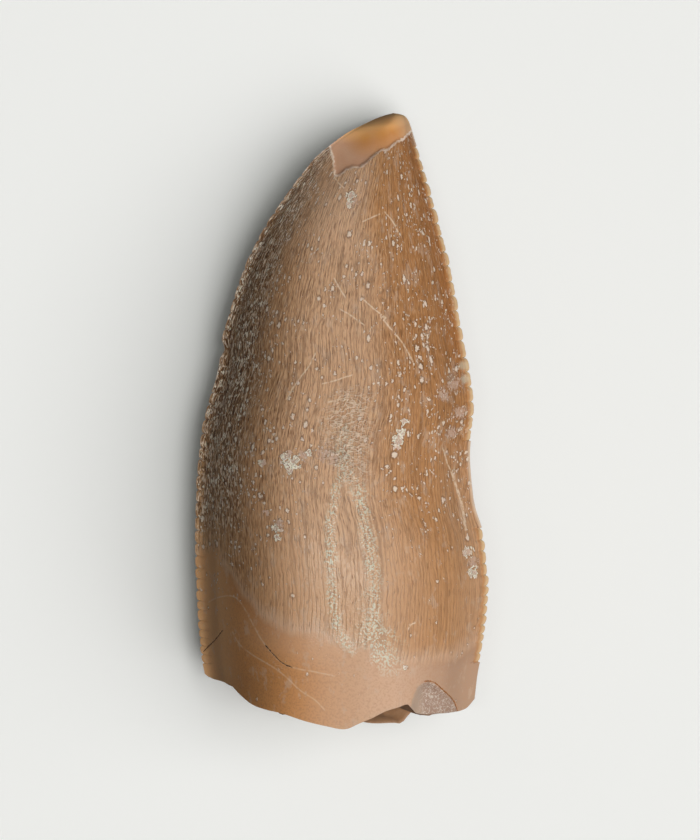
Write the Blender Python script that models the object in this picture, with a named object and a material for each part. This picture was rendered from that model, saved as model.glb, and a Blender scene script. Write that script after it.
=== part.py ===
"""Fossil tooth of a meat-eating dinosaur, lying on its inner (tongue) side.

The blade is one piece: an enamel crown with a serrated keel along its front and back edges, and a short
stub of root, broken off, with a shallow pulp pit in the break. +Y runs from the root to the tip, +Z is the
outer (cheek) side, -X is the front keel and +X the back keel. Lengths below are millimetres.
"""

import math

import bmesh
import bpy
from mathutils import Vector, noise

MM = 0.001

# Driving dimensions: where the tip and the root break lie, and how the blade is thickened between them
TIP_Y = 11.61
TIP_X = 1.9
TIP_Z = 1.05
TIP_ROUNDING = 0.6
ROOT_CENTRE = Vector((-0.1, -10.6, 3.0))
CREST_ACROSS = 0.56  # share of the width, from the front keel, where the outer side is highest
BELLY_ACROSS = 0.48  # the same for the lowest line of the inner side

# The two keels seen from above, as (y, x), and their heights, as (y, z)
FRONT_KEEL = (
    (-9.5, -5.19), (-8.6, -5.36), (-6.7, -5.50), (-4.5, -5.57), (-2.2, -5.51), (-0.8, -5.37), (0.4, -5.16),
    (1.5, -4.79), (2.4, -4.60), (3.1, -4.54), (4.1, -4.26), (5.6, -3.76), (6.9, -3.15), (8.2, -2.33),
    (9.2, -1.58), (9.9, -0.98), (10.4, -0.38), (10.8, 0.16), (11.1, 0.7), (11.38, 1.22), (11.53, 1.6),
    (TIP_Y, TIP_X),
)
BACK_KEEL = (
    (-10.38, 4.93), (-9.4, 5.05), (-8.4, 5.25), (-6.4, 5.46), (-5.2, 5.40), (-4.1, 5.23), (-3.2, 4.95),
    (-2.2, 4.81), (-1.1, 4.76), (0.4, 4.92), (1.5, 4.83), (3.0, 4.55), (4.5, 4.29), (6.0, 4.01), (7.5, 3.62),
    (9.0, 3.21), (10.0, 2.9), (10.6, 2.71), (11.1, 2.56), (11.4, 2.43), (11.55, 2.24), (TIP_Y, TIP_X),
)
FRONT_KEEL_Z = ((-9.5, 1.5), (-4.0, 1.6), (0.0, 1.7), (4.0, 1.8), (7.0, 2.05), (9.5, 2.3), (10.8, 2.1), (TIP_Y, TIP_Z))
BACK_KEEL_Z = ((-10.38, 2.6), (-4.0, 2.7), (0.0, 2.6), (4.0, 2.35), (8.0, 1.8), (TIP_Y, TIP_Z))

# The highest line of the outer side and the lowest of the inner side, as (y, z). The inner side dips a
# little below zero, where it is worn flat: that flat is what the tooth lies on.
CREST_Z = (
    (-11.5, 5.85), (-8.0, 6.05), (-4.0, 6.0), (0.0, 5.55), (4.0, 4.75), (7.0, 3.95), (9.0, 3.2),
    (10.5, 2.55), (TIP_Y, 2.2),
)
BELLY_Z = (
    (-11.5, 0.25), (-9.5, -0.06), (-6.0, -0.14), (-1.0, -0.12), (2.0, 0.0), (6.0, 0.2), (10.0, 0.3),
    (TIP_Y, 0.45),
)

# How full each side is: the height falls as (1 - across ** spread) ** fullness from the crest to a keel. The
# outer side's front flank is full and drops late, and changes to a leaner form towards the tip.
OUTER_FRONT_FORM = (3.8, 1.6)
TIP_FRONT_FORM = (1.6, 0.95)
TIP_FORM_FROM = 5.0
OUTER_BACK_FORM = (2.1, 0.90)
INNER_FORM = (2.8, 0.92)

# The keels stand on the flanks as narrow ridges: their share of the width, and how thin they are
FRONT_RIDGE = 0.08
BACK_RIDGE = 0.13
KEEL_THINNESS = 0.4

# The broken end of the root seen from above, as (x, y), on the outer wall and on the inner wall
OUTER_BREAK = (
    (-5.19, -9.5), (-4.9, -9.67), (-4.5, -9.74), (-4.15, -9.85), (-3.85, -10.12), (-3.35, -10.47),
    (-2.9, -10.61), (-2.2, -10.75), (-1.4, -11.0), (-0.6, -11.19), (0.1, -11.3), (0.64, -11.08),
    (1.08, -10.9), (1.56, -10.66), (2.1, -10.5), (2.4, -10.42), (2.56, -10.6), (2.72, -10.78), (3.3, -10.82),
    (4.1, -10.82), (4.6, -10.72), (4.93, -10.38),
)
INNER_BREAK = (
    (-5.19, -9.5), (-4.3, -9.6), (-3.2, -9.9), (-1.6, -10.5), (0.0, -11.1), (0.9, -11.42), (1.97, -11.42),
    (2.23, -11.42), (2.45, -11.15), (2.7, -10.92), (3.3, -10.8), (4.1, -10.75), (4.93, -10.38),
)
# Rings from the rim into the pulp pit, as (size against the rim, share of the rim's unevenness that is
# left, how far up the tooth). The broken dentine between them is rough.
PULP_STEPS = (
    (0.92, 0.9, 0.05), (0.78, 0.7, 0.1), (0.6, 0.45, 0.2), (0.42, 0.2, 0.4), (0.35, 0.1, 0.9), (0.25, 0.05, 1.9),
    (0.12, 0.02, 2.6),
)
BREAK_ROUGHNESS = 0.16
BREAK_GRAIN = 0.8

# Runs of serration on each keel: how far a denticle stands out, and the y of each slit between denticles
FRONT_DENTICLES = (
    (0.13, (
        -9.11, -8.78, -8.44, -8.14, -7.84, -7.51, -7.09, -6.76, -6.35, -5.93, -5.52, -5.07, -4.59, -4.10, -3.61,
        -3.05, -2.60, -2.04, -1.41, -0.99, -0.47, 0.05, 0.62, 1.10,
    )),
    (0.10, (3.42, 4.06, 4.62, 5.11, 5.70, 6.30, 6.79, 7.31, 7.80, 8.29, 8.74, 9.18, 9.60)),
)
BACK_DENTICLES = (
    (0.15, (
        -9.00, -8.67, -8.25, -7.95, -7.62, -7.24, -6.87, -6.50, -6.16, -5.75, -5.33, -4.85, -4.44, -3.99,
    )),
    (0.16, (
        -0.73, -0.32, 0.17, 0.73, 1.29, 1.85, 2.37, 3.01, 3.53, 4.13, 4.69, 5.22, 5.82, 6.34, 6.94, 7.42, 7.99,
        8.44, 8.96, 9.41, 9.86, 10.34,
    )),
)
FRONT_KNOCK = (2.72, 0.4, 0.14)  # where a denticle is knocked off, as middle y, half its length, depth
DENTICLE_REACH = 0.5  # how far the slits between denticles run in over the flanks
DENTICLE_LEAN = 0.56  # where on its length a denticle stands furthest out, towards the tip
DENTICLE_ROUNDNESS = 2.6

# The flake lost from the outer side of the tip, as the (x, y) of its lower edge, and the chip lost from the
# root, as the (x, y) of its upper edge. The flake takes a share of the height above the keels.
FLAKE_SHARE = 0.12
FLAKE_SLOPE = 0.25
FLAKE = (
    (-1.6, 11.6), (-0.5, 10.36), (-0.38, 9.95), (-0.29, 9.2), (-0.14, 9.14), (0.12, 9.38), (0.42, 9.49),
    (0.61, 9.45), (0.9, 9.64), (1.13, 9.87), (1.43, 10.1), (1.73, 10.18), (1.99, 10.42), (2.3, 10.59),
    (2.61, 10.94), (3.4, 11.6),
)
CHIP_DEPTH = 0.42
CHIP_SLOPE = 0.3
CHIP_SHALLOWER = (2.6, 4.8)  # from the first x to the second, where it runs out level with the root
CHIP = (
    (2.3, -11.8), (2.42, -10.9), (2.49, -10.57), (2.57, -10.24), (2.74, -9.79), (2.99, -9.63), (3.17, -9.60),
    (3.40, -9.69), (3.61, -9.87), (3.81, -10.08), (4.06, -10.33), (4.22, -10.66), (4.32, -11.0), (4.4, -11.8),
)

# Slow swells and hollows that keep the flanks from being ruled surfaces
SWELL_HEIGHT = 0.05
SWELL_LENGTH = 3.2
SWELL_FADE = 4.0  # they fade out over one part in this many of the width beside each keel

# Faces of the mesh
COLUMNS = 40
ROWS = 48
KEEL_CUTS = 4  # extra rungs in each row beside a keel, for the denticles
KEEL_COLUMNS = 2
KEEL_CROWDING = 0.8  # how strongly the columns gather towards the keels, from 0 to 1
TIP_ROWS = 0.12  # share of the rows that closes the rounded tip

ENAMEL_COLOUR = (0.36, 0.21, 0.12, 1.0)
ENAMEL_ROUGHNESS = 0.4


def smooth_at(points, t):
    """Value at t on a smooth curve through (t, value) points, with t rising."""
    if t <= points[0][0]:
        return points[0][1]
    if t >= points[-1][0]:
        return points[-1][1]
    k = next(i for i in range(1, len(points)) if t <= points[i][0])
    (t0, v0), (t1, v1) = points[k - 1], points[k]
    before = points[max(k - 2, 0)]
    after = points[min(k + 1, len(points) - 1)]
    step = t1 - t0
    slope0 = (v1 - before[1]) / (t1 - before[0]) * step
    slope1 = (after[1] - v0) / (after[0] - t0) * step
    f = (t - t0) / step
    return (
        (2 * f**3 - 3 * f**2 + 1) * v0
        + (f**3 - 2 * f**2 + f) * slope0
        + (3 * f**2 - 2 * f**3) * v1
        + (f**3 - f**2) * slope1
    )


def smooth_step(t):
    t = min(max(t, 0.0), 1.0)
    return t * t * (3 - 2 * t)


def knock_depth(y):
    middle, half, depth = FRONT_KNOCK
    return depth * smooth_step(1 - abs(y - middle) / half)


def slit_depth(y, runs):
    """How far the keel's edge lies inside the line over the denticles' tops, at y."""
    for height, gaps in runs:
        if gaps[0] < y < gaps[-1]:
            low, high = next(pair for pair in zip(gaps, gaps[1:]) if y <= pair[1])
            phase = (y - low) / (high - low)
            side = phase / DENTICLE_LEAN if phase < DENTICLE_LEAN else (1 - phase) / (1 - DENTICLE_LEAN)
            return height * (1 - math.sqrt(1 - (1 - side) ** DENTICLE_ROUNDNESS))
    return 0.0


def flank_height(across, crest, keel_z, crest_z, form):
    """Height of a flank at a share of the way across, between its keel and its crest line."""
    spread, fullness = form
    away = (crest - across) / crest if across < crest else (across - crest) / (1 - crest)
    return keel_z + (crest_z - keel_z) * (1 - min(away, 1.0) ** spread) ** fullness


def ridge_thickness(across):
    """Share of the full thickness beside the keels, where they stand on the flanks as ridges."""
    beside_keel = smooth_step(across / FRONT_RIDGE) * smooth_step((1 - across) / BACK_RIDGE)
    return KEEL_THINNESS + (1 - KEEL_THINNESS) * beside_keel


def outer_front_form(y):
    """The front flank's form at y, between that of the thick part of the blade and that of the tip."""
    to_tip = smooth_step((y - TIP_FORM_FROM) / (TIP_Y - TIP_FORM_FROM))
    return [low + (high - low) * to_tip for low, high in zip(OUTER_FRONT_FORM, TIP_FRONT_FORM)]


def chip_depth(x, y):
    level, out = CHIP_SHALLOWER
    depth = CHIP_DEPTH * (1 - smooth_step((x - level) / (out - level)))
    return depth * smooth_step((smooth_at(CHIP, x) - y) / CHIP_SLOPE)


def column_share(u):
    """(share of the width from the front keel, whether on the outer side) of a place round the tooth, 0 to 1."""
    outer = u <= 0.5
    t = 2 * u if outer else 2 * (1 - u)
    crowded = (1 - math.cos(math.pi * t)) / 2
    return t + KEEL_CROWDING * (crowded - t), outer


def row_share(v):
    """Share of the length from the break to the tip. The last rows gather to close the tip."""
    straight = 1 - TIP_ROWS
    reach = straight / (straight + 2 * TIP_ROWS / math.pi)
    if v <= straight:
        return reach * v / straight
    return reach + (1 - reach) * math.sin(math.pi / 2 * (v - straight) / TIP_ROWS)


def surface(u, v):
    """The point of the tooth's skin at u, the share of the way round, and v, the share of the way up."""
    across, outer = column_share(u)
    rim_x = FRONT_KEEL[0][1] + (BACK_KEEL[0][1] - FRONT_KEEL[0][1]) * across
    rim_y = smooth_at(OUTER_BREAK if outer else INNER_BREAK, rim_x)
    y = rim_y + (TIP_Y - rim_y) * row_share(v)
    front, back = smooth_at(FRONT_KEEL, y), smooth_at(BACK_KEEL, y)
    x = front + (back - front) * across

    front_z, back_z = smooth_at(FRONT_KEEL_Z, y), smooth_at(BACK_KEEL_Z, y)
    keel_z = front_z + (back_z - front_z) * across
    if outer:
        form = outer_front_form(y) if across < CREST_ACROSS else OUTER_BACK_FORM
        z = flank_height(across, CREST_ACROSS, keel_z, smooth_at(CREST_Z, y), form)
    else:
        z = flank_height(across, BELLY_ACROSS, keel_z, smooth_at(BELLY_Z, y), INNER_FORM)
    z = keel_z + (z - keel_z) * ridge_thickness(across)
    if outer:
        z -= FLAKE_SHARE * (z - keel_z) * smooth_step((y - smooth_at(FLAKE, x)) / FLAKE_SLOPE)
        z -= chip_depth(x, y)
    to_tip = (TIP_Y - y) / TIP_ROUNDING
    if to_tip < 1:
        z = TIP_Z + (z - TIP_Z) * math.sqrt(max(1 - (1 - to_tip) ** 2, 0.0))
    elif outer or z > SWELL_HEIGHT:
        swell = noise.noise(Vector((x, y, z)) / SWELL_LENGTH)
        z += SWELL_HEIGHT * swell * min(min(across, 1 - across) * SWELL_FADE, 1)

    front_slit = max(slit_depth(y, FRONT_DENTICLES), knock_depth(y))
    front_slit *= max(1 - math.hypot(x - front, z - front_z) / DENTICLE_REACH, 0)
    back_slit = slit_depth(y, BACK_DENTICLES)
    back_slit *= max(1 - math.hypot(back - x, z - back_z) / DENTICLE_REACH, 0)
    return Vector((x + front_slit - back_slit, y, max(z, 0.0)))


def skin_grid():
    """A flat grid, one column of faces for each step round the tooth, with extra rungs beside the keels."""
    bm = bmesh.new()
    bmesh.ops.create_grid(bm, x_segments=COLUMNS, y_segments=ROWS, size=0.5)
    beside_keel = (KEEL_COLUMNS + 0.5) / COLUMNS

    def has_denticles(vert):
        return min(abs(vert.co.x), 0.5 - abs(vert.co.x)) < beside_keel and vert.co.y < 0.5 - TIP_ROWS

    def runs_lengthwise(edge):
        return abs(edge.verts[0].co.x - edge.verts[1].co.x) < 0.5 / COLUMNS

    keel_edges = [edge for edge in bm.edges if runs_lengthwise(edge) and all(map(has_denticles, edge.verts))]
    bmesh.ops.subdivide_edges(bm, edges=keel_edges, cuts=KEEL_CUTS, use_grid_fill=True)
    return bm


def close_root(bm):
    """Closes the broken end: a dished wall of dentine round a pulp pit that narrows to a point."""
    rim = [edge for edge in bm.edges if edge.is_boundary]
    size, unevenness, sunk = 1.0, 1.0, 0.0
    for next_size, next_unevenness, next_sunk in PULP_STEPS:
        made = bmesh.ops.extrude_edge_only(bm, edges=rim)["geom"]
        rim = [item for item in made if isinstance(item, bmesh.types.BMEdge) and item.is_boundary]
        shrink = next_size / size
        for vert in (item for item in made if isinstance(item, bmesh.types.BMVert)):
            away = vert.co - ROOT_CENTRE
            level = (away.y - sunk) * next_unevenness / unevenness + next_sunk
            vert.co = ROOT_CENTRE + Vector((away.x * shrink, level, away.z * shrink))
            vert.co.y += BREAK_ROUGHNESS * noise.noise(vert.co / BREAK_GRAIN)
        size, unevenness, sunk = next_size, next_unevenness, next_sunk
    bmesh.ops.holes_fill(bm, edges=rim)


def build_tooth():
    bm = skin_grid()
    for vert in bm.verts:
        vert.co = surface(vert.co.x + 0.5, vert.co.y + 0.5)
    bmesh.ops.remove_doubles(bm, verts=bm.verts, dist=0.0005)
    close_root(bm)
    bmesh.ops.recalc_face_normals(bm, faces=bm.faces)
    bmesh.ops.triangulate(bm, faces=bm.faces)
    return bm


def stand_on_origin(bm):
    """Moves the tooth so that the centre of its base box is the origin."""
    xs = [vert.co.x for vert in bm.verts]
    ys = [vert.co.y for vert in bm.verts]
    middle = Vector(((min(xs) + max(xs)) / 2, (min(ys) + max(ys)) / 2, 0.0))
    bmesh.ops.translate(bm, verts=bm.verts, vec=-middle)


def enamel():
    material = bpy.data.materials.new("fossil_enamel")
    material.use_nodes = True
    shader = material.node_tree.nodes["Principled BSDF"]
    shader.inputs["Base Color"].default_value = ENAMEL_COLOUR
    shader.inputs["Roughness"].default_value = ENAMEL_ROUGHNESS
    shader.inputs["Metallic"].default_value = 0.0
    return material


def main():
    for obj in list(bpy.data.objects):
        bpy.data.objects.remove(obj)
    bm = build_tooth()
    stand_on_origin(bm)
    bmesh.ops.scale(bm, vec=Vector((MM, MM, MM)), verts=bm.verts)
    mesh = bpy.data.meshes.new("tooth")
    bm.to_mesh(mesh)
    bm.free()
    mesh.shade_smooth()
    mesh.set_sharp_from_angle(angle=math.radians(40))
    mesh.materials.append(enamel())
    tooth = bpy.data.objects.new("tooth", mesh)
    bpy.context.scene.collection.objects.link(tooth)


main()
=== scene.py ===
"""Fossil tooth of a meat-eating dinosaur, lying on its inner side: finish, floor, light and camera.

The frame is the solid model's: metres, +Y from the broken root to the tip, +Z out of the outer side, -X the
front keel and +X the back keel. Lengths in this script are millimetres until a mesh is scaled by MM.
"""

import math

import bmesh
import bpy
import numpy as np
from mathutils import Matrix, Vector, noise


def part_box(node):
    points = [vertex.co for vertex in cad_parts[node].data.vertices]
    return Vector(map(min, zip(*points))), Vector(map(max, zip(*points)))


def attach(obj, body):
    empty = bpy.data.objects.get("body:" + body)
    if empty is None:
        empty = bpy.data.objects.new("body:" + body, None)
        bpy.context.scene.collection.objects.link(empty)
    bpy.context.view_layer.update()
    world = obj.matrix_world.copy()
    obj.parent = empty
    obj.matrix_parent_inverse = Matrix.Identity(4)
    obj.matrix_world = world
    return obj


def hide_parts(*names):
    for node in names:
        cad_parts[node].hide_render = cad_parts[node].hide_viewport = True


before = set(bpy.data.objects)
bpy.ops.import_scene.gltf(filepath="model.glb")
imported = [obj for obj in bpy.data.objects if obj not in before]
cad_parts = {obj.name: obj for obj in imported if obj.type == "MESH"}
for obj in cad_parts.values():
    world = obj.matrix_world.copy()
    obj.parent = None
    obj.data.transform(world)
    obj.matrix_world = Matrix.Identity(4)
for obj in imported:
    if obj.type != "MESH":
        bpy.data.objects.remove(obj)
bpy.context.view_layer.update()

# The blade. One piece of dentine under enamel, both turned to brown apatite. It grew as a flattened cone that
# curves back, with a ridge along its front and back edges. It stands on nothing: the worn flat in the middle
# of its inner side is what it lies on.
MM = 0.001
TIP_Y = 11.61
TIP_X = 1.9
TIP_Z = 1.05
TIP_ROUNDING = 0.6
CREST_ACROSS = 0.56
BELLY_ACROSS = 0.48

# The keels seen from above, as (y, x), and their heights, as (y, z)
FRONT_KEEL = (
    (-9.5, -5.19), (-8.6, -5.36), (-6.7, -5.50), (-4.5, -5.57), (-2.2, -5.51), (-0.8, -5.37), (0.4, -5.16),
    (1.5, -4.79), (2.4, -4.60), (3.1, -4.54), (4.1, -4.26), (5.6, -3.76), (6.9, -3.15), (8.2, -2.33),
    (9.2, -1.58), (9.9, -0.98), (10.4, -0.38), (10.8, 0.16), (11.1, 0.7), (11.38, 1.22), (11.53, 1.6),
    (TIP_Y, TIP_X),
)
BACK_KEEL = (
    (-10.38, 4.93), (-9.4, 5.05), (-8.4, 5.25), (-6.4, 5.46), (-5.2, 5.40), (-4.1, 5.23), (-3.2, 4.95),
    (-2.2, 4.81), (-1.1, 4.76), (0.4, 4.92), (1.5, 4.83), (3.0, 4.55), (4.5, 4.29), (6.0, 4.01), (7.5, 3.62),
    (9.0, 3.21), (10.0, 2.9), (10.6, 2.71), (11.1, 2.56), (11.4, 2.43), (11.55, 2.24), (TIP_Y, TIP_X),
)
FRONT_KEEL_Z = (
    (-9.5, 1.5), (-4.0, 1.6), (0.0, 1.7), (4.0, 1.8), (7.0, 2.05), (9.5, 2.3), (10.8, 2.1), (TIP_Y, TIP_Z),
)
BACK_KEEL_Z = ((-10.38, 2.6), (-4.0, 2.7), (0.0, 2.6), (4.0, 2.35), (8.0, 1.8), (TIP_Y, TIP_Z))
CREST_Z = (
    (-11.5, 5.85), (-8.0, 6.05), (-4.0, 6.0), (0.0, 5.55), (4.0, 4.75), (7.0, 3.95), (9.0, 3.2),
    (10.5, 2.55), (TIP_Y, 2.2),
)
BELLY_Z = (
    (-11.5, 0.25), (-9.5, -0.06), (-6.0, -0.14), (-1.0, -0.12), (2.0, 0.0), (6.0, 0.2), (10.0, 0.3),
    (TIP_Y, 0.45),
)

# The arch of each flank between keel and crest, as (how far it spreads, how full it is), how thin it is
# beside the keels, and how it swells and sinks in between
OUTER_FRONT_FORM = (3.8, 1.6)
TIP_FRONT_FORM = (1.6, 0.95)
TIP_FORM_FROM = 5.0
OUTER_BACK_FORM = (2.1, 0.90)
INNER_FORM = (2.8, 0.92)
FRONT_RIDGE = 0.08
BACK_RIDGE = 0.13
KEEL_THINNESS = 0.4
SWELL_HEIGHT = 0.05
SWELL_LENGTH = 3.2
SWELL_FADE = 4.0

# The broken end of the root seen from above, as (x, y), on the outer wall and on the inner wall
OUTER_BREAK = (
    (-5.19, -9.5), (-4.9, -9.67), (-4.5, -9.74), (-4.15, -9.85), (-3.85, -10.12), (-3.35, -10.47),
    (-2.9, -10.61), (-2.2, -10.75), (-1.4, -11.0), (-0.6, -11.19), (0.1, -11.3), (0.64, -11.08),
    (1.08, -10.9), (1.56, -10.66), (2.1, -10.5), (2.4, -10.42), (2.56, -10.6), (2.72, -10.78), (3.3, -10.82),
    (4.1, -10.82), (4.6, -10.72), (4.93, -10.38),
)
INNER_BREAK = (
    (-5.19, -9.5), (-4.3, -9.6), (-3.2, -9.9), (-1.6, -10.5), (0.0, -11.1), (0.9, -11.42), (1.97, -11.42),
    (2.23, -11.42), (2.45, -11.15), (2.7, -10.92), (3.3, -10.8), (4.1, -10.75), (4.93, -10.38),
)

# Runs of serration on each keel: how far a denticle stands out, where along it stands out furthest, how
# round it is, and the y of each slit. The low runs are small and hooked towards the tip.
FRONT_DENTICLES = (
    (0.13, 0.62, 2.2, (
        -9.11, -8.78, -8.44, -8.14, -7.84, -7.51, -7.09, -6.76, -6.35, -5.93, -5.52, -5.07, -4.59, -4.10,
        -3.61, -3.05, -2.60, -2.04, -1.41, -0.99, -0.47, 0.05, 0.62, 1.10,
    )),
    (0.10, 0.56, 3.0, (3.42, 4.06, 4.62, 5.11, 5.70, 6.30, 6.79, 7.31, 7.80, 8.29, 8.74, 9.18, 9.60)),
)
BACK_DENTICLES = (
    (0.15, 0.68, 1.8, (
        -9.00, -8.67, -8.25, -7.95, -7.62, -7.24, -6.87, -6.50, -6.16, -5.75, -5.33, -4.85, -4.44, -3.99,
    )),
    (0.16, 0.54, 3.0, (
        -0.73, -0.32, 0.17, 0.73, 1.29, 1.85, 2.37, 3.01, 3.53, 4.13, 4.69, 5.22, 5.82, 6.34, 6.94, 7.42,
        7.99, 8.44, 8.96, 9.41, 9.86, 10.34,
    )),
)
DENTICLE_REACH = 0.5
DENTICLE_UNEVENNESS = 0.35
SLIT_GROOVE = 0.45  # share of the keel's thickness lost in a slit
FRONT_BEAD = 0.06  # how far in from the edge the pale denticles reach
BACK_BEAD = 0.34
FRONT_KNOCK = (2.72, 0.4, 0.14)  # where a denticle is knocked off, as middle y, half its length, depth

# The flake lost from the outer side of the tip, as the (x, y) of its lower edge, and the chip lost from the
# root, as the (x, y) of its upper edge. The flake takes a share of the height above the keels.
FLAKE_SHARE = 0.12
FLAKE_SLOPE = 0.08
FLAKE = (
    (-1.6, 11.6), (-0.5, 10.36), (-0.38, 9.95), (-0.29, 9.2), (-0.14, 9.14), (0.12, 9.38), (0.42, 9.49),
    (0.61, 9.45), (0.9, 9.64), (1.13, 9.87), (1.43, 10.1), (1.73, 10.18), (1.99, 10.42), (2.3, 10.59),
    (2.61, 10.94), (3.4, 11.6),
)
CHIP_DEPTH = 0.42
CHIP_SLOPE = 0.3
CHIP_SHALLOWER = (2.6, 4.8)  # from the first x to the second, where it runs out level with the root
CHIP = (
    (2.3, -11.8), (2.42, -10.9), (2.49, -10.57), (2.57, -10.24), (2.74, -9.79), (2.99, -9.63), (3.17, -9.60),
    (3.40, -9.69), (3.61, -9.87), (3.81, -10.08), (4.06, -10.33), (4.22, -10.66), (4.32, -11.0), (4.4, -11.8),
)

# Faces: the outer side, which shows most, gets more columns, and the keels get extra rungs for the denticles
OUTER_COLUMNS = 118
INNER_COLUMNS = 72
COLUMNS = OUTER_COLUMNS + INNER_COLUMNS
OUTER_SHARE = OUTER_COLUMNS / COLUMNS
ROWS = 330
KEEL_STRIP = 0.045
KEEL_CUTS = 2
KEEL_CROWDING = 0.5
TIP_ROWS = 0.12


def smooth_at(points, at):
    """Values at each of `at` on a smooth curve through (t, value) points, with t rising."""
    t, value = np.array(points, dtype=float).T
    at = np.clip(at, t[0], t[-1])
    k = np.clip(np.searchsorted(t, at) - 1, 0, len(t) - 2)
    slope = np.empty_like(value)
    slope[1:-1] = (value[2:] - value[:-2]) / (t[2:] - t[:-2])
    slope[0] = (value[1] - value[0]) / (t[1] - t[0])
    slope[-1] = (value[-1] - value[-2]) / (t[-1] - t[-2])
    step = t[k + 1] - t[k]
    f = (at - t[k]) / step
    return (
        (2 * f**3 - 3 * f**2 + 1) * value[k]
        + (f**3 - 2 * f**2 + f) * slope[k] * step
        + (3 * f**2 - 2 * f**3) * value[k + 1]
        + (f**3 - f**2) * slope[k + 1] * step
    )


def smooth_step(t):
    t = np.clip(t, 0.0, 1.0)
    return t * t * (3 - 2 * t)


def swell(places, grain):
    return np.array([noise.noise(Vector(place) / grain) for place in places])


def slits(y, runs, seed):
    """At each y: how deep the keel's edge is cut in, the share of the way from a denticle's top to its slit,
    and 1 where the keel has denticles."""
    chance = np.random.default_rng(seed)
    depth, share, toothed = np.zeros((3, len(y)))
    for height, lean, roundness, gaps in runs:
        gaps = np.array(gaps)
        below = np.clip(np.searchsorted(gaps, y) - 1, 0, len(gaps) - 2)
        phase = np.clip((y - gaps[below]) / (gaps[below + 1] - gaps[below]), 0, 1)
        side = np.where(phase < lean, phase / lean, (1 - phase) / (1 - lean))
        cut = 1 - np.sqrt(1 - (1 - side) ** roundness)
        wear = DENTICLE_UNEVENNESS * chance.random(len(gaps))
        inside = (y > gaps[0]) & (y < gaps[-1])
        depth = np.where(inside, height * (cut + wear[below] * side), depth)
        share = np.where(inside, cut, share)
        toothed += inside
    return depth, share, toothed


def flank_height(across, crest, keel_z, crest_z, form):
    spread, fullness = form
    away = np.where(across < crest, (crest - across) / crest, (across - crest) / (1 - crest))
    return keel_z + (crest_z - keel_z) * (1 - np.minimum(away, 1.0) ** spread) ** fullness


def toward_line(x, y, line):
    """Vectors (dx, dy) from each place to the nearest point of a line of straight pieces."""
    places = np.stack((x, y), axis=1)
    nearest = np.full_like(places, np.inf)
    for start, end in zip(np.array(line[:-1]), np.array(line[1:])):
        along = end - start
        share = np.clip((places - start) @ along / (along @ along), 0, 1)
        away = start + share[:, None] * along - places
        nearer = np.hypot(*away.T) < np.hypot(*nearest.T)
        nearest[nearer] = away[nearer]
    return nearest


def above(x, y, line):
    """Distance from a line that runs from left to right, negative under it."""
    return np.hypot(*toward_line(x, y, line).T) * np.where(y > np.interp(x, *np.array(line).T), 1, -1)


def column_share(u):
    """(share of the width from the front keel, whether on the outer side) of a place round the tooth."""
    outer = u < OUTER_SHARE + 0.1 / COLUMNS
    t = np.where(outer, np.minimum(u / OUTER_SHARE, 1), (1 - u) / (1 - OUTER_SHARE))
    crowded = (1 - np.cos(np.pi * t)) / 2
    return t + KEEL_CROWDING * (crowded - t), outer


def row_share(v):
    """Share of the length from the break to the tip. The last rows gather to close the tip."""
    straight = 1 - TIP_ROWS
    reach = straight / (straight + 2 * TIP_ROWS / math.pi)
    gathered = np.sin(math.pi / 2 * np.clip((v - straight) / TIP_ROWS, 0, 1))
    return np.where(v <= straight, reach * v / straight, reach + (1 - reach) * gathered)


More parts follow.
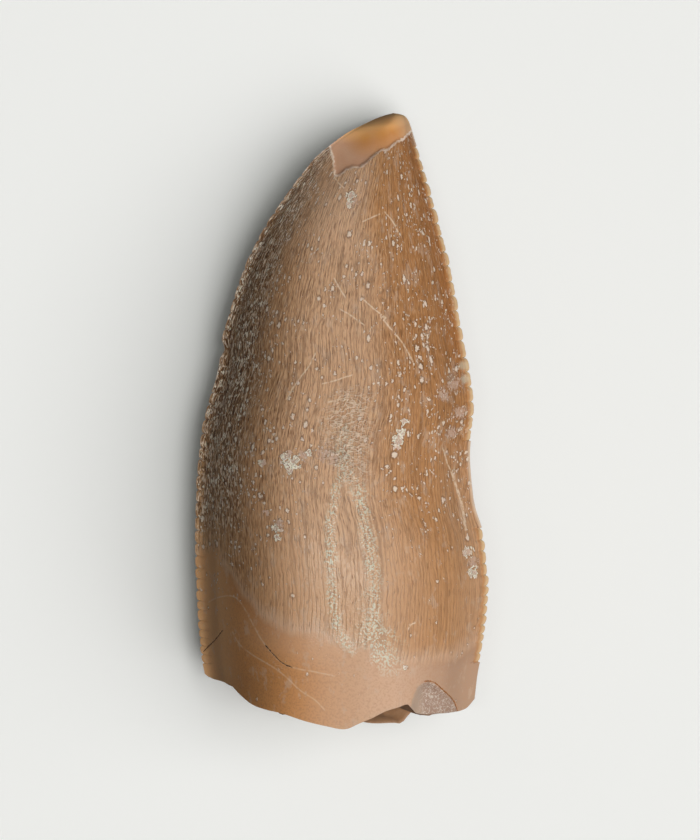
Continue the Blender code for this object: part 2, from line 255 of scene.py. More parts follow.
def surface(u, v):
    """Places on the tooth's skin, with what each one is: its share across, keel distances, slits and chip."""
    across, outer = column_share(u)
    rim_x = FRONT_KEEL[0][1] + (BACK_KEEL[0][1] - FRONT_KEEL[0][1]) * across
    rim_y = np.where(outer, smooth_at(OUTER_BREAK, rim_x), smooth_at(INNER_BREAK, rim_x))
    y = rim_y + (TIP_Y - rim_y) * row_share(v)
    front, back = smooth_at(FRONT_KEEL, y), smooth_at(BACK_KEEL, y)
    x = front + (back - front) * across

    front_z, back_z = smooth_at(FRONT_KEEL_Z, y), smooth_at(BACK_KEEL_Z, y)
    keel_z = front_z + (back_z - front_z) * across
    crest_z, belly_z = smooth_at(CREST_Z, y), smooth_at(BELLY_Z, y)
    to_tip_form = smooth_step((y - TIP_FORM_FROM) / (TIP_Y - TIP_FORM_FROM))
    front_form = [low + (high - low) * to_tip_form for low, high in zip(OUTER_FRONT_FORM, TIP_FRONT_FORM)]
    front_side = flank_height(across, CREST_ACROSS, keel_z, crest_z, front_form)
    back_side = flank_height(across, CREST_ACROSS, keel_z, crest_z, OUTER_BACK_FORM)
    inner_side = flank_height(across, BELLY_ACROSS, keel_z, belly_z, INNER_FORM)
    z = np.where(outer, np.where(across < CREST_ACROSS, front_side, back_side), inner_side)
    beside_keel = smooth_step(across / FRONT_RIDGE) * smooth_step((1 - across) / BACK_RIDGE)
    z = keel_z + (z - keel_z) * (KEEL_THINNESS + (1 - KEEL_THINNESS) * beside_keel)

    z -= np.where(outer, FLAKE_SHARE * (z - keel_z) * smooth_step(above(x, y, FLAKE) / FLAKE_SLOPE), 0)
    to_tip = np.clip((TIP_Y - y) / TIP_ROUNDING, 0, 1)
    z = TIP_Z + (z - TIP_Z) * np.where(to_tip < 1, np.sqrt(1 - (1 - to_tip) ** 2), 1)
    swells = SWELL_HEIGHT * swell(np.stack((x, y, z), axis=1), SWELL_LENGTH)
    swells *= np.minimum(np.minimum(across, 1 - across) * SWELL_FADE, 1)
    z += np.where((to_tip >= 1) & (outer | (z > SWELL_HEIGHT)), swells, 0)

    front_reach = np.hypot(x - front, z - front_z)
    back_reach = np.hypot(back - x, z - back_z)
    front_cut, front_slit, front_run = slits(y, FRONT_DENTICLES, seed=3)
    back_cut, back_slit, back_run = slits(y, BACK_DENTICLES, seed=5)
    bead = np.maximum(front_run * (FRONT_BEAD - front_reach), 0)
    bead += np.maximum(back_run * (BACK_BEAD - back_reach), 0)
    middle, half, depth = FRONT_KNOCK
    front_cut = np.maximum(front_cut, depth * smooth_step(1 - np.abs(y - middle) / half))
    near_front = np.maximum(1 - front_reach / DENTICLE_REACH, 0)
    near_back = np.maximum(1 - back_reach / DENTICLE_REACH, 0)
    x += front_cut * near_front - back_cut * near_back
    slit = front_slit * near_front + back_slit * near_back
    z = np.maximum(keel_z + (z - keel_z) * (1 - SLIT_GROOVE * slit), 0)

    under_chip_edge = -above(x, y, CHIP)
    level, out = CHIP_SHALLOWER
    chip_depth = CHIP_DEPTH * (1 - smooth_step((x - level) / (out - level)))
    z -= np.where(outer, chip_depth * smooth_step(under_chip_edge / CHIP_SLOPE), 0)
    return np.stack((x, y, z), axis=1), {
        "across": across,
        "outer": outer.astype(float),
        "front_edge": front_reach,
        "back_edge": back_reach,
        "bead": bead,
        "slit": slit,
        "chip": np.where(outer, under_chip_edge, -1),
    }


# A flat sheet of faces, one column for each step round the tooth, is wrapped into the blade. Each corner's
# place on the sheet becomes its UV, so the lengthwise grain can follow the blade as it narrows.
tooth_bm = bmesh.new()
bmesh.ops.create_grid(tooth_bm, x_segments=COLUMNS, y_segments=ROWS, size=0.5)
sheet = np.array([vert.co.xy for vert in tooth_bm.verts]) + 0.5
across, _ = column_share(sheet[:, 0])
has_denticles = (np.minimum(across, 1 - across) < KEEL_STRIP) & (sheet[:, 1] < 1 - TIP_ROWS)
lengthwise = 0.5 / COLUMNS
strip_edges = [
    edge
    for edge in tooth_bm.edges
    if all(has_denticles[vert.index] for vert in edge.verts)
    and abs(edge.verts[0].co.x - edge.verts[1].co.x) < lengthwise
]
bmesh.ops.subdivide_edges(tooth_bm, edges=strip_edges, cuts=KEEL_CUTS, use_grid_fill=True)
tooth_bm.verts.index_update()
sheet = np.array([vert.co.xy for vert in tooth_bm.verts]) + 0.5
places, facts = surface(sheet[:, 0], sheet[:, 1])

# The girth at the thick part of the blade, as a share of the length, spaces the grain evenly round it
THICK_PART = 0.3
WELD_DISTANCE = 0.002
ring_u = np.linspace(0, 1, COLUMNS + 1)
ring, _ = surface(ring_u, np.full(COLUMNS + 1, THICK_PART))
round_ring = np.concatenate(([0.0], np.cumsum(np.linalg.norm(np.diff(ring, axis=0), axis=1))))
girth = round_ring[-1]
skin_u = np.interp(sheet[:, 0], ring_u, round_ring / girth)
skin_uv = tooth_bm.loops.layers.uv.new("skin")
for face in tooth_bm.faces:
    for loop in face.loops:
        loop[skin_uv].uv = (skin_u[loop.vert.index], sheet[loop.vert.index, 1])

layers = {name: tooth_bm.verts.layers.float.new(name) for name in (*facts, "broken")}
rim_place = tooth_bm.verts.layers.float_vector.new("rim_place")
for vert, place, *values in zip(tooth_bm.verts, places, *facts.values()):
    vert.co = place
    vert[rim_place] = place
    for name, value in zip(facts, values):
        vert[layers[name]] = value
bmesh.ops.remove_doubles(tooth_bm, verts=tooth_bm.verts, dist=WELD_DISTANCE)

# The break: the rim is drawn in, ring by ring, over rough dentine and into the shallow pulp pit. The tables
# give, for each ring's size against the rim, how much of the rim's unevenness is left, and how far up it is.
ROOT_CENTRE = Vector((-0.1, -10.6, 3.0))
UNEVENNESS_LEFT = ((0.12, 0.02), (0.25, 0.05), (0.35, 0.1), (0.42, 0.2), (0.6, 0.45), (0.78, 0.7), (1.0, 1.0))
PULP_LEVELS = ((0.12, 2.6), (0.25, 1.9), (0.35, 0.9), (0.42, 0.4), (0.6, 0.2), (0.78, 0.1), (1.0, 0.0))
BREAK_RINGS = 30
BREAK_ROUGHNESS = 0.16
BREAK_GRAIN = 0.8
SPLINTER_HEIGHT = 0.05
SPLINTER_GRAIN = 0.22

rim = [edge for edge in tooth_bm.edges if edge.is_boundary]
for size in np.linspace(1.0, UNEVENNESS_LEFT[0][0], BREAK_RINGS)[1:]:
    unevenness, level = smooth_at(UNEVENNESS_LEFT, size), smooth_at(PULP_LEVELS, size)
    made = bmesh.ops.extrude_edge_only(tooth_bm, edges=rim)["geom"]
    rim = [item for item in made if isinstance(item, bmesh.types.BMEdge) and item.is_boundary]
    for vert in (item for item in made if isinstance(item, bmesh.types.BMVert)):
        away = vert[rim_place] - ROOT_CENTRE
        vert.co = ROOT_CENTRE + Vector((away.x * size, away.y * unevenness + level, away.z * size))
        vert.co.y += BREAK_ROUGHNESS * noise.noise(vert.co / BREAK_GRAIN)
        vert.co.y += SPLINTER_HEIGHT * noise.noise(vert.co / SPLINTER_GRAIN)
        vert[layers["broken"]] = 1.0
bmesh.ops.holes_fill(tooth_bm, edges=rim)
bmesh.ops.recalc_face_normals(tooth_bm, faces=tooth_bm.faces)

# The finer mesh is centred on the solid seen from above
xs = [vert.co.x for vert in tooth_bm.verts]
ys = [vert.co.y for vert in tooth_bm.verts]
solid_low, solid_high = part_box("tooth")
solid_middle = (Vector(solid_low) + Vector(solid_high)) / 2 / MM
shift = Vector((solid_middle.x - (min(xs) + max(xs)) / 2, solid_middle.y - (min(ys) + max(ys)) / 2, 0.0))
bmesh.ops.translate(tooth_bm, verts=tooth_bm.verts, vec=shift)

tooth_mesh = bpy.data.meshes.new("fossil_tooth")
tooth_bm.to_mesh(tooth_mesh)
tooth_bm.free()

# What time did to the outer side, as (x, y) seen from above in the solid model's frame: cracks, pale
# scratches, and the lower edge of the enamel. Patches are (x, y, radius): crusts and thin films of lime, the
# hollow where the gloss breaks up into small wrinkles, the orange and cream glow of the thin tip, which is
# painted light, and the two greenish denticles.
CRACKS = (
    ((-2.81, -8.32), (-2.62, -8.53), (-2.44, -8.72), (-2.25, -8.90), (-2.02, -9.04), (-1.80, -9.11)),
    ((3.04, -9.68), (3.22, -9.66), (3.45, -9.74), (3.66, -9.93), (3.87, -10.13), (4.11, -10.38),
     (4.28, -10.71), (4.33, -10.9)),
    ((-4.44, -7.88), (-4.71, -8.24), (-4.99, -8.53), (-5.19, -8.74)),
)
SCRATCHES = (
    ((-4.98, -6.87), (-4.70, -6.70), (-4.20, -6.57), (-3.90, -6.63), (-3.64, -6.92), (-3.30, -7.50),
     (-3.00, -8.04), (-2.70, -8.44), (-2.44, -8.72), (-2.25, -8.90), (-2.02, -9.04), (-1.52, -9.18),
     (-1.07, -9.25), (-0.23, -9.42)),
    ((-0.93, 2.47), (-1.19, 1.95), (-1.52, 1.51), (-1.78, 1.14), (-2.00, 0.73)),
    ((-0.71, 1.29), (-0.27, 1.40), (0.14, 1.54), (0.43, 1.62)),
    ((-0.49, 0.62), (-0.12, 0.70), (0.39, 0.84)),
    ((-0.05, 4.06), (0.32, 3.84), (0.62, 3.61), (0.84, 3.47)),
    ((0.84, 4.39), (1.21, 4.06), (1.65, 3.73)),
    ((1.43, 3.80), (1.80, 3.36), (2.17, 2.92), (2.46, 2.47), (2.65, 2.10)),
    ((-0.27, 5.21), (-0.12, 4.92), (0.14, 4.50)),
    ((0.77, 7.31), (1.17, 7.50), (1.43, 7.61)),
    ((1.62, 7.69), (1.92, 7.32), (2.10, 6.95)),
    ((-4.05, -7.90), (-3.75, -8.37), (-3.26, -8.72), (-2.81, -8.96), (-2.33, -9.24), (-1.89, -9.60),
     (-1.52, -9.95), (-0.96, -10.31), (-0.60, -10.68)),
    ((3.77, -1.08), (3.92, -1.60), (4.08, -1.97), (4.23, -2.46), (4.42, -3.02), (4.53, -3.58), (4.60, -4.13)),
    ((4.14, -1.97), (4.28, -2.46), (4.47, -3.02), (4.58, -3.58), (4.65, -4.13)),
    ((2.45, -7.75), (2.49, -7.57), (2.71, -7.50)),
    ((-0.25, 9.0), (-0.1, 8.78), (0.1, 8.6)),
)
ENAMEL_EDGE = (
    (-5.6, -5.30), (-5.1, -5.12), (-4.7, -5.06), (-4.2, -5.79), (-3.63, -6.62), (-2.92, -7.41),
    (-2.07, -7.83), (-0.78, -8.11), (0.32, -8.47), (2.16, -9.04), (3.27, -9.07), (4.22, -8.94), (5.1, -8.44),
    (5.6, -8.2),
)
PATCHES = {
    "crust": (
        (0.36, 8.28, 0.22), (0.28, 7.95, 0.12), (2.31, -0.10, 0.16), (2.20, -0.50, 0.20), (2.09, -0.85, 0.26),
        (-2.00, -1.33, 0.22), (-1.81, -1.62, 0.30), (-1.89, -1.88, 0.16), (-1.15, -1.25, 0.14),
        (-2.44, -4.01, 0.18), (-2.38, -4.35, 0.16), (-2.74, -3.43, 0.16), (4.90, -5.70, 0.22),
        (4.70, -4.95, 0.22), (2.34, -9.15, 0.10), (-2.92, -1.63, 0.16),
    ),
    "film": (
        (-0.62, -1.28, 0.36), (-0.32, -1.45, 0.26), (-1.41, -1.36, 0.24), (-2.3, -3.9, 0.26),
        (4.2, 1.3, 0.36), (3.8, 0.9, 0.3), (4.4, 0.2, 0.34), (4.1, -0.5, 0.28), (4.9, -5.35, 0.3),
        (0.45, 8.1, 0.26),
    ),
    "wrinkled": ((0.25, -0.35, 1.1), (0.35, 0.4, 0.9), (0.2, -1.2, 0.9), (0.5, -1.9, 0.7)),
    "painted_glow": ((1.5, 10.8, 1.3), (0.9, 10.6, 0.9), (1.9, 10.9, 1.0)),
    "cream": ((2.6, 10.9, 0.6), (2.4, 11.25, 0.7), (1.9, 11.6, 0.4)),
    "mint": ((4.54, 2.0, 0.24), (4.62, 1.48, 0.22)),
}
# Where a glaze is left, as (width, line): two streaks down the crest and a short, broad one low on it. The
# tops of its pebbles get painted glints.
GLAZE = (
    (0.3, ((0.1, -1.9), (-0.2, -2.5), (-0.32, -3.4), (-0.42, -4.4), (-0.3, -6.6), (0.0, -7.9), (0.4, -8.6))),
    (0.42, ((0.15, -0.3), (0.05, -1.0), (0.05, -1.6), (0.35, -2.1), (0.65, -2.7), (0.85, -3.7), (1.1, -5.2),
            (1.2, -6.6), (1.2, -7.9), (1.3, -8.9))),
    (0.85, ((1.0, -7.4), (1.35, -8.1), (1.6, -8.7))),
)
LINE_REACH = 0.5
LINE_STEP = 0.12


def drawn(points):
    """A smooth line through a few points, in short straight pieces."""
    points = np.array(points)
    far = np.concatenate(([0.0], np.cumsum(np.hypot(*np.diff(points, axis=0).T))))
    stops = np.linspace(0, far[-1], max(round(far[-1] / LINE_STEP), 2))
    sides = (smooth_at(np.stack((far, side), axis=1), stops) for side in points.T)
    return [tuple(place) for place in zip(*sides)]


def line_offsets(lines, places, on_outer):
    """Vectors to the nearest line. Past the reach they turn straight up, so their length stays long."""
    nearest = np.full((len(places), 2), np.inf)
    for line in lines:
        away = toward_line(*places[:, :2].T, drawn(line))
        nearer = np.hypot(*away.T) < np.hypot(*nearest.T)
        nearest[nearer] = away[nearer]
    near = 1 - smooth_step(2 * np.hypot(*nearest.T) / LINE_REACH - 1)
    near *= on_outer
    return np.column_stack((nearest * near[:, None], (1 - near) * LINE_REACH))


def add_fact(mesh, name, values):
    kind, key = ("FLOAT_VECTOR", "vector") if values.ndim == 2 else ("FLOAT", "value")
    attribute = mesh.attributes.new(name, kind, "POINT")
    attribute.data.foreach_set(key, values.astype(np.float32).ravel())


def kept_fact(mesh, name):
    values = np.empty(len(mesh.vertices), np.float32)
    mesh.attributes[name].data.foreach_get("value", values)
    return values


skin = np.empty(len(tooth_mesh.vertices) * 3, np.float32)
tooth_mesh.vertices.foreach_get("co", skin)
skin = skin.reshape(-1, 3).astype(float)
on_outer = kept_fact(tooth_mesh, "outer") > 0.5
share_across = kept_fact(tooth_mesh, "across")

add_fact(tooth_mesh, "crack", line_offsets(CRACKS, skin, on_outer))
add_fact(tooth_mesh, "scratch", line_offsets(SCRATCHES, skin, on_outer))
for name, spots in PATCHES.items():
    inside = np.max([1 - np.hypot(skin[:, 0] - x, skin[:, 1] - y) / radius for x, y, radius in spots], axis=0)
    add_fact(tooth_mesh, name, np.where(on_outer, inside, -1))
add_fact(tooth_mesh, "enamel", skin[:, 1] - smooth_at(ENAMEL_EDGE, skin[:, 0]))
add_fact(tooth_mesh, "flake", np.where(on_outer, above(*(skin[:, :2] - shift.xy).T, FLAKE), -1))

# How thickly the grains of lime lie, how deep the weave is, where the front flank is darkened, partly its own
# darker brown and partly painted shade, where its low edge is painted lighter against its shade, and where
# the crest is painted pale, partly as wear and partly as a painted sheen. Each fades over some millimetres or
# over a share of the width.
skin_y = skin[:, 1]
above_root = smooth_step((skin_y + 7) / 6)
front_share = smooth_step((0.4 - share_across) / 0.3) * smooth_step((skin_y + 8) / 3)
back_share = smooth_step((share_across - 0.5) / 0.35)
front_flank = smooth_step((0.22 - share_across) / 0.12) * smooth_step((skin_y + 5) / 2)
crest_middle = 0.48 - 0.08 * smooth_step((skin_y - 5) / 3) + 0.18 * smooth_step((-8 - skin_y) / 1.5)
crest_reach = np.where(share_across < crest_middle, 0.33, 0.17 + 0.22 * (1 - above_root))
on_crest = 1 - smooth_step((np.abs(share_across - crest_middle) - 0.08) / crest_reach)
on_crest *= 1 + 0.4 * smooth_step((skin_y - 5) / 3) - 0.2 * smooth_step((-4 - skin_y) / 4)
streaks = [1 - np.hypot(*toward_line(*skin[:, :2].T, drawn(line)).T) / width for width, line in GLAZE]
for name, values in {
    "lime": 0.12 + 0.14 * above_root + 0.22 * front_share + 0.22 * back_share * above_root,
    "weave": 0.1 + 0.4 * above_root * (1 - 0.45 * back_share) + 0.48 * front_share,
    "front_flank": front_flank * np.where(on_outer, 1.0, 0.4),
    "front_low_painted_light": smooth_step((0.16 - share_across) / 0.1) * (1 - smooth_step((skin_y + 3) / 4)),
    "back_half": back_share,
    "worn": on_crest * smooth_step((11.5 - skin_y) / 3) * on_outer,
    "glaze": np.where(on_outer, np.max(streaks, axis=0), -1),
}.items():
    add_fact(tooth_mesh, name, values)

SHARP_FROM_DEGREES = 50
tooth_mesh.transform(((MM, 0, 0, 0), (0, MM, 0, 0), (0, 0, MM, 0), (0, 0, 0, 1)))
tooth_mesh.shade_smooth()
tooth_mesh.set_sharp_from_angle(angle=math.radians(SHARP_FROM_DEGREES))
tooth = bpy.data.objects.new("fossil_tooth", tooth_mesh)
bpy.context.scene.collection.objects.link(tooth)
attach(tooth, "root")
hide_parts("tooth")

# Fossil enamel and dentine: brown apatite, worn smooth by sand and water. The enamel is satin, ribbed
# lengthwise by fine lines that hold dark clay, and peppered with pale grains of lime; the root under it is
# smoother and warmer, and the broken places are dull.
def linear(colour):
    """An sRGB hex colour as the linear RGBA that shaders use."""
    channels = (int(colour[i : i + 2], 16) / 255 for i in (1, 3, 5))
    return (*(c / 12.92 if c <= 0.04045 else ((c + 0.055) / 1.055) ** 2.4 for c in channels), 1.0)


def add(tree, kind, inputs, out=None, **settings):
    """Adds a node with its settings and links, and gives back one of its outputs, the first unless named."""
    node = tree.nodes.new("ShaderNode" + kind)
    for name, value in settings.items():
        setattr(node, name, value)
    for name, value in inputs.items():
        named = [socket for socket in node.inputs if socket.enabled and socket.name == name]
        socket = named[0] if named else node.inputs[name]
        if isinstance(value, bpy.types.NodeSocket):
            tree.links.new(value, socket)
        else:
            socket.default_value = value
    shown = [socket for socket in node.outputs if socket.enabled]
    return node.outputs[out] if out else (shown or [None])[0]


fossil = bpy.data.materials.new("fossil_enamel_and_dentine")
fossil.use_nodes = True
tree = fossil.node_tree
tree.nodes.clear()
place = add(tree, "Mapping", {"Vector": add(tree, "TexCoord", {}, "Object"), "Scale": (1 / MM,) * 3})
skin_place = add(tree, "UVMap", {}, uv_map="skin")
skin_mm = add(tree, "Mapping", {"Vector": skin_place, "Scale": (girth, TIP_Y - ROOT_CENTRE.y, 1)})
fact = {
    name: add(tree, "Attribute", {}, "Fac", attribute_name=name)
    for name in (*PATCHES, "front_edge", "back_edge", "bead", "slit", "chip", "broken", "enamel", "flake",
                 "lime", "weave", "front_flank", "front_low_painted_light", "back_half", "worn", "glaze")
}
east = add(tree, "SeparateXYZ", {"Vector": place}, "X")
north = east.node.outputs["Y"]

# Clouds 3 mm wide, mottling under 1 mm, and grit of 0.15 mm and of 0.08 mm
cloud = add(tree, "TexNoise", {"Vector": place, "Scale": 0.35, "Detail": 2.0})
mottle = add(tree, "TexNoise", {"Vector": place, "Scale": 1.3, "Detail": 4.0, "Roughness": 0.6})
grit = add(tree, "TexNoise", {"Vector": place, "Scale": 7.0, "Detail": 2.0})
fine_grit = add(tree, "TexNoise", {"Vector": place, "Scale": 13.0, "Detail": 1.0})

# Where the bare places and the enamel are, from 0 to 1
uneven_edge = add(tree, "Math", {0: mottle, 1: 0.7, 2: fact["enamel"]}, operation="MULTIPLY_ADD")
above_edge = add(tree, "MapRange", {"Value": uneven_edge, "From Min": 0.25, "From Max": 0.7})
flake_edge = add(tree, "Math", {0: grit, 1: 0.16, 2: fact["flake"]}, operation="MULTIPLY_ADD")
in_flake = add(tree, "MapRange", {"Value": flake_edge, "From Min": 0.06, "From Max": 0.10})
chip_edge = add(tree, "Math", {0: grit, 1: 0.12, 2: fact["chip"]}, operation="MULTIPLY_ADD")
in_chip = add(tree, "MapRange", {"Value": chip_edge, "From Min": 0.03, "From Max": 0.1})
bare = add(tree, "Math", {0: fact["broken"], 1: in_chip}, operation="MAXIMUM")
bare = add(tree, "Math", {0: bare, 1: in_flake}, operation="MAXIMUM")
not_bare = add(tree, "Math", {0: 1.0, 1: bare}, operation="SUBTRACT", use_clamp=True)
on_enamel = add(tree, "Math", {0: above_edge, 1: not_bare}, operation="MULTIPLY")

# The grain of the enamel: the skin's own millimetres, bent so that the lines waver slowly and shiver
long_place = add(tree, "Mapping", {"Vector": skin_mm, "Scale": (0.8, 0.3, 1)})
wander = add(
    tree, "TexNoise", {"Vector": long_place, "Scale": 1.0, "Detail": 3.0, "Roughness": 0.55}, "Color"
)
wander = add(tree, "VectorMath", {0: wander, 1: (0.45, 0, 0)}, operation="MULTIPLY")
shiver = add(tree, "TexNoise", {"Vector": skin_mm, "Scale": 3.0, "Detail": 1.0}, "Color")
shiver = add(tree, "VectorMath", {0: shiver, 1: (0.07, 0, 0)}, operation="MULTIPLY")
grain_place = add(tree, "VectorMath", {0: skin_mm, 1: wander}, operation="ADD")
grain_place = add(tree, "VectorMath", {0: grain_place, 1: shiver}, operation="ADD")

# Ribs 0.16 mm apart, faint in places; dark dashes 0.07 mm wide and half a millimetre long between them; and
# hairlines that run for 6 mm. A wave texture of scale 1 repeats every 0.314.
RIB_SPACING = 0.16
WAVE_OF_SCALE_1 = 0.314
rib_scale = WAVE_OF_SCALE_1 / RIB_SPACING
ribs = add(tree, "TexWave", {"Vector": grain_place, "Scale": rib_scale}, wave_profile="SIN")
rib_lines = add(tree, "MapRange", {"Value": ribs, "From Min": 0.2, "From Max": 0.02})
patch_place = add(tree, "Mapping", {"Vector": grain_place, "Scale": (4.0, 0.9, 1)})
patches = add(tree, "TexNoise", {"Vector": patch_place, "Scale": 1.0, "Detail": 4.0, "Roughness": 0.7})
rib_strength = add(tree, "MapRange", {"Value": patches, "From Min": 0.4, "From Max": 0.62, "To Min": 0.1})
rib_lines = add(tree, "Math", {0: rib_lines, 1: rib_strength}, operation="MULTIPLY")
dash_place = add(tree, "Mapping", {"Vector": grain_place, "Scale": (15.0, 2.0, 1)})
dashes = add(tree, "TexNoise", {"Vector": dash_place, "Scale": 1.0, "Detail": 2.0, "Roughness": 0.6})
dash_lines = add(tree, "MapRange", {"Value": dashes, "From Min": 0.58, "From Max": 0.68})
thread_place = add(tree, "Mapping", {"Vector": grain_place, "Scale": (2.8, 0.16, 1)})
threads = add(tree, "TexNoise", {"Vector": thread_place, "Scale": 1.0, "Detail": 1.0})
threads = add(tree, "Math", {0: threads, 1: 0.5}, operation="SUBTRACT")
threads = add(tree, "Math", {0: threads}, operation="ABSOLUTE")
thread_lines = add(tree, "MapRange", {"Value": threads, "From Min": 0.03, "From Max": 0.0, "To Max": 0.7})
lines = add(tree, "Math", {0: rib_lines, 1: dash_lines}, operation="MAXIMUM")
lines = add(tree, "Math", {0: lines, 1: thread_lines}, operation="MAXIMUM")
lines = add(tree, "Math", {0: lines, 1: on_enamel}, operation="MULTIPLY")

# The weave of the enamel, threads 0.06 mm wide and six times as long, dark between and pale on top. The real
# ones are finer, and are drawn as coarse as they need to show. They fade where the enamel is rubbed smooth.
weave_place = add(tree, "Mapping", {"Vector": grain_place, "Scale": (18.0, 3.0, 1)})
weave = add(tree, "TexNoise", {"Vector": weave_place, "Scale": 1.0, "Detail": 2.0, "Roughness": 0.6})
weave_left = add(tree, "MapRange", {"Value": cloud, "From Min": 0.35, "From Max": 0.55, "To Min": 0.5})
weave_depth = add(tree, "Math", {0: fact["weave"], 1: weave_left}, operation="MULTIPLY")
weave_depth = add(tree, "Math", {0: weave_depth, 1: on_enamel}, operation="MULTIPLY")
weave_dark = add(tree, "MapRange", {"Value": weave, "From Min": 0.5, "From Max": 0.34})
weave_dark = add(tree, "Math", {0: weave_dark, 1: weave_depth}, operation="MULTIPLY")
weave_pale = add(tree, "MapRange", {"Value": weave, "From Min": 0.5, "From Max": 0.66})
weave_pale = add(tree, "Math", {0: weave_pale, 1: weave_depth}, operation="MULTIPLY")

# On the front flank pale strokes of lime, 0.08 mm wide, lie in the grain, with dark clay between them
stroke_place = add(tree, "Mapping", {"Vector": grain_place, "Scale": (12.0, 4.2, 1)})
strokes = add(tree, "TexNoise", {"Vector": stroke_place, "Scale": 1.0, "Detail": 2.0, "Distortion": 1.0})
stroke_gaps = add(tree, "MapRange", {"Value": strokes, "From Min": 0.47, "From Max": 0.4, "To Max": 0.7})
stroke_gaps = add(tree, "Math", {0: stroke_gaps, 1: fact["front_flank"]}, operation="MULTIPLY")
strokes = add(tree, "MapRange", {"Value": strokes, "From Min": 0.55, "From Max": 0.59, "To Max": 0.9})
strokes = add(tree, "Math", {0: strokes, 1: fact["front_flank"]}, operation="MULTIPLY")

# Grains of lime, thicker in clusters and in the films, in four sizes, as (cell width, cell length, radius as
# a share of the cell, how many). A cell's random number says whether it holds a grain and how large that is.
# Painted shade darkens a ring round the larger ones.
GRAINS = ((0.1, 0.11, 0.4, 0.42), (0.16, 0.17, 0.34, 0.45), (0.3, 0.34, 0.27, 0.7), (0.6, 0.64, 0.22, 0.7))
fine_shift = fine_grit.node.outputs["Color"]
rough = add(tree, "VectorMath", {0: fine_shift, 1: (0.13, 0.13, 0)}, operation="MULTIPLY")
rough_place = add(tree, "VectorMath", {0: grain_place, 1: rough}, operation="ADD")
clusters = add(
    tree, "MapRange", {"Value": mottle, "From Min": 0.4, "From Max": 0.62, "To Min": 0.35, "To Max": 1.45}
)
in_film = add(tree, "MapRange", {"Value": fact["film"], "From Min": -0.2, "From Max": 0.6, "To Max": 0.5})
lime = add(tree, "Math", {0: fact["lime"], 1: clusters, 2: in_film}, operation="MULTIPLY_ADD")
grains, shade_rings = 0.0, 0.0
for wide, long, radius, share in GRAINS:
    cell_place = add(tree, "Mapping", {"Vector": rough_place, "Scale": (1 / wide, 1 / long, 1)})
    far = add(tree, "TexVoronoi", {"Vector": cell_place, "Scale": 1.0}, voronoi_dimensions="2D")
    chance = add(tree, "SeparateColor", {"Color": far.node.outputs["Color"]}, "Red")
    chance = add(tree, "Math", {0: chance, 1: -1.0}, operation="MULTIPLY")
    size = add(tree, "Math", {0: lime, 1: share, 2: chance}, operation="MULTIPLY_ADD")
    size = add(tree, "MapRange", {"Value": size, "From Max": 0.14, "To Max": radius})
    inside = add(tree, "Math", {0: size, 1: far}, operation="SUBTRACT")
    found = add(tree, "MapRange", {"Value": inside, "From Min": 0.03, "From Max": 0.1})
    # A ring of painted shade just outside each larger grain
    ring = add(tree, "MapRange", {"Value": inside, "From Min": -0.08, "From Max": 0.0})
    large = add(tree, "MapRange", {"Value": size, "From Min": 0.1, "From Max": 0.2})
    ring = add(tree, "Math", {0: ring, 1: large}, operation="MULTIPLY")
    grains = add(tree, "Math", {0: grains, 1: found}, operation="MAXIMUM")
    shade_rings = add(tree, "Math", {0: shade_rings, 1: ring}, operation="MAXIMUM")
grains = add(tree, "Math", {0: grains, 1: not_bare}, operation="MULTIPLY")
shade_rings = add(tree, "Math", {0: shade_rings, 1: not_bare}, operation="MULTIPLY")

# A faint frost of lime, in flecks half a millimetre wide
frost_place = add(tree, "Mapping", {"Vector": rough_place, "Scale": (2.2, 1.2, 1)})
frost = add(tree, "TexNoise", {"Vector": frost_place, "Scale": 1.0, "Detail": 3.0, "Roughness": 0.7})
frost = add(tree, "Math", {0: lime, 1: 0.12, 2: frost}, operation="MULTIPLY_ADD")
frost = add(tree, "MapRange", {"Value": frost, "From Min": 0.58, "From Max": 0.66, "To Max": 0.4})
frost = add(tree, "Math", {0: frost, 1: not_bare}, operation="MULTIPLY")

# Dark pits, 0.05 mm across and ragged
pit_place = add(tree, "VectorMath", {0: place, 1: rough}, operation="ADD")
pit = add(tree, "TexVoronoi", {"Vector": pit_place, "Scale": 1.4})
pit_chance = add(tree, "SeparateColor", {"Color": pit.node.outputs["Color"]}, "Green")
pit_size = add(tree, "MapRange", {"Value": pit_chance, "From Min": 0.7, "From Max": 1.0, "To Max": 0.07})
pit_over = add(tree, "Math", {0: pit_size, 1: pit}, operation="SUBTRACT")
pits = add(tree, "MapRange", {"Value": pit_over, "From Min": 0.0, "From Max": 0.04, "To Max": 0.75})

# Cracks and scratches, thinned and broken up by the grit
crack_at = add(tree, "Attribute", {}, "Vector", attribute_name="crack")
crack_far = add(tree, "VectorMath", {0: crack_at}, "Value", operation="LENGTH")
crack_far = add(tree, "Math", {0: fine_grit, 1: 0.05, 2: crack_far}, operation="MULTIPLY_ADD")
crack = add(tree, "MapRange", {"Value": crack_far, "From Min": 0.055, "From Max": 0.025})
crack_dark = add(tree, "MapRange", {"Value": grit, "From Min": 0.45, "From Max": 0.6})
scratch_at = add(tree, "Attribute", {}, "Vector", attribute_name="scratch")
scratch_far = add(tree, "VectorMath", {0: scratch_at}, "Value", operation="LENGTH")
scratch_far = add(tree, "Math", {0: fine_grit, 1: 0.04, 2: scratch_far}, operation="MULTIPLY_ADD")
scratch = add(tree, "MapRange", {"Value": scratch_far, "From Min": 0.06, "From Max": 0.028})
scratch_worn = add(tree, "MapRange", {"Value": grit, "From Min": 0.3, "From Max": 0.5, "To Max": 0.8})
on_root = add(tree, "MapRange", {"Value": above_edge, "To Min": 0.5})
scratch_worn = add(tree, "Math", {0: scratch_worn, 1: on_root}, operation="MULTIPLY")
scratch = add(tree, "Math", {0: scratch, 1: scratch_worn}, operation="MULTIPLY")

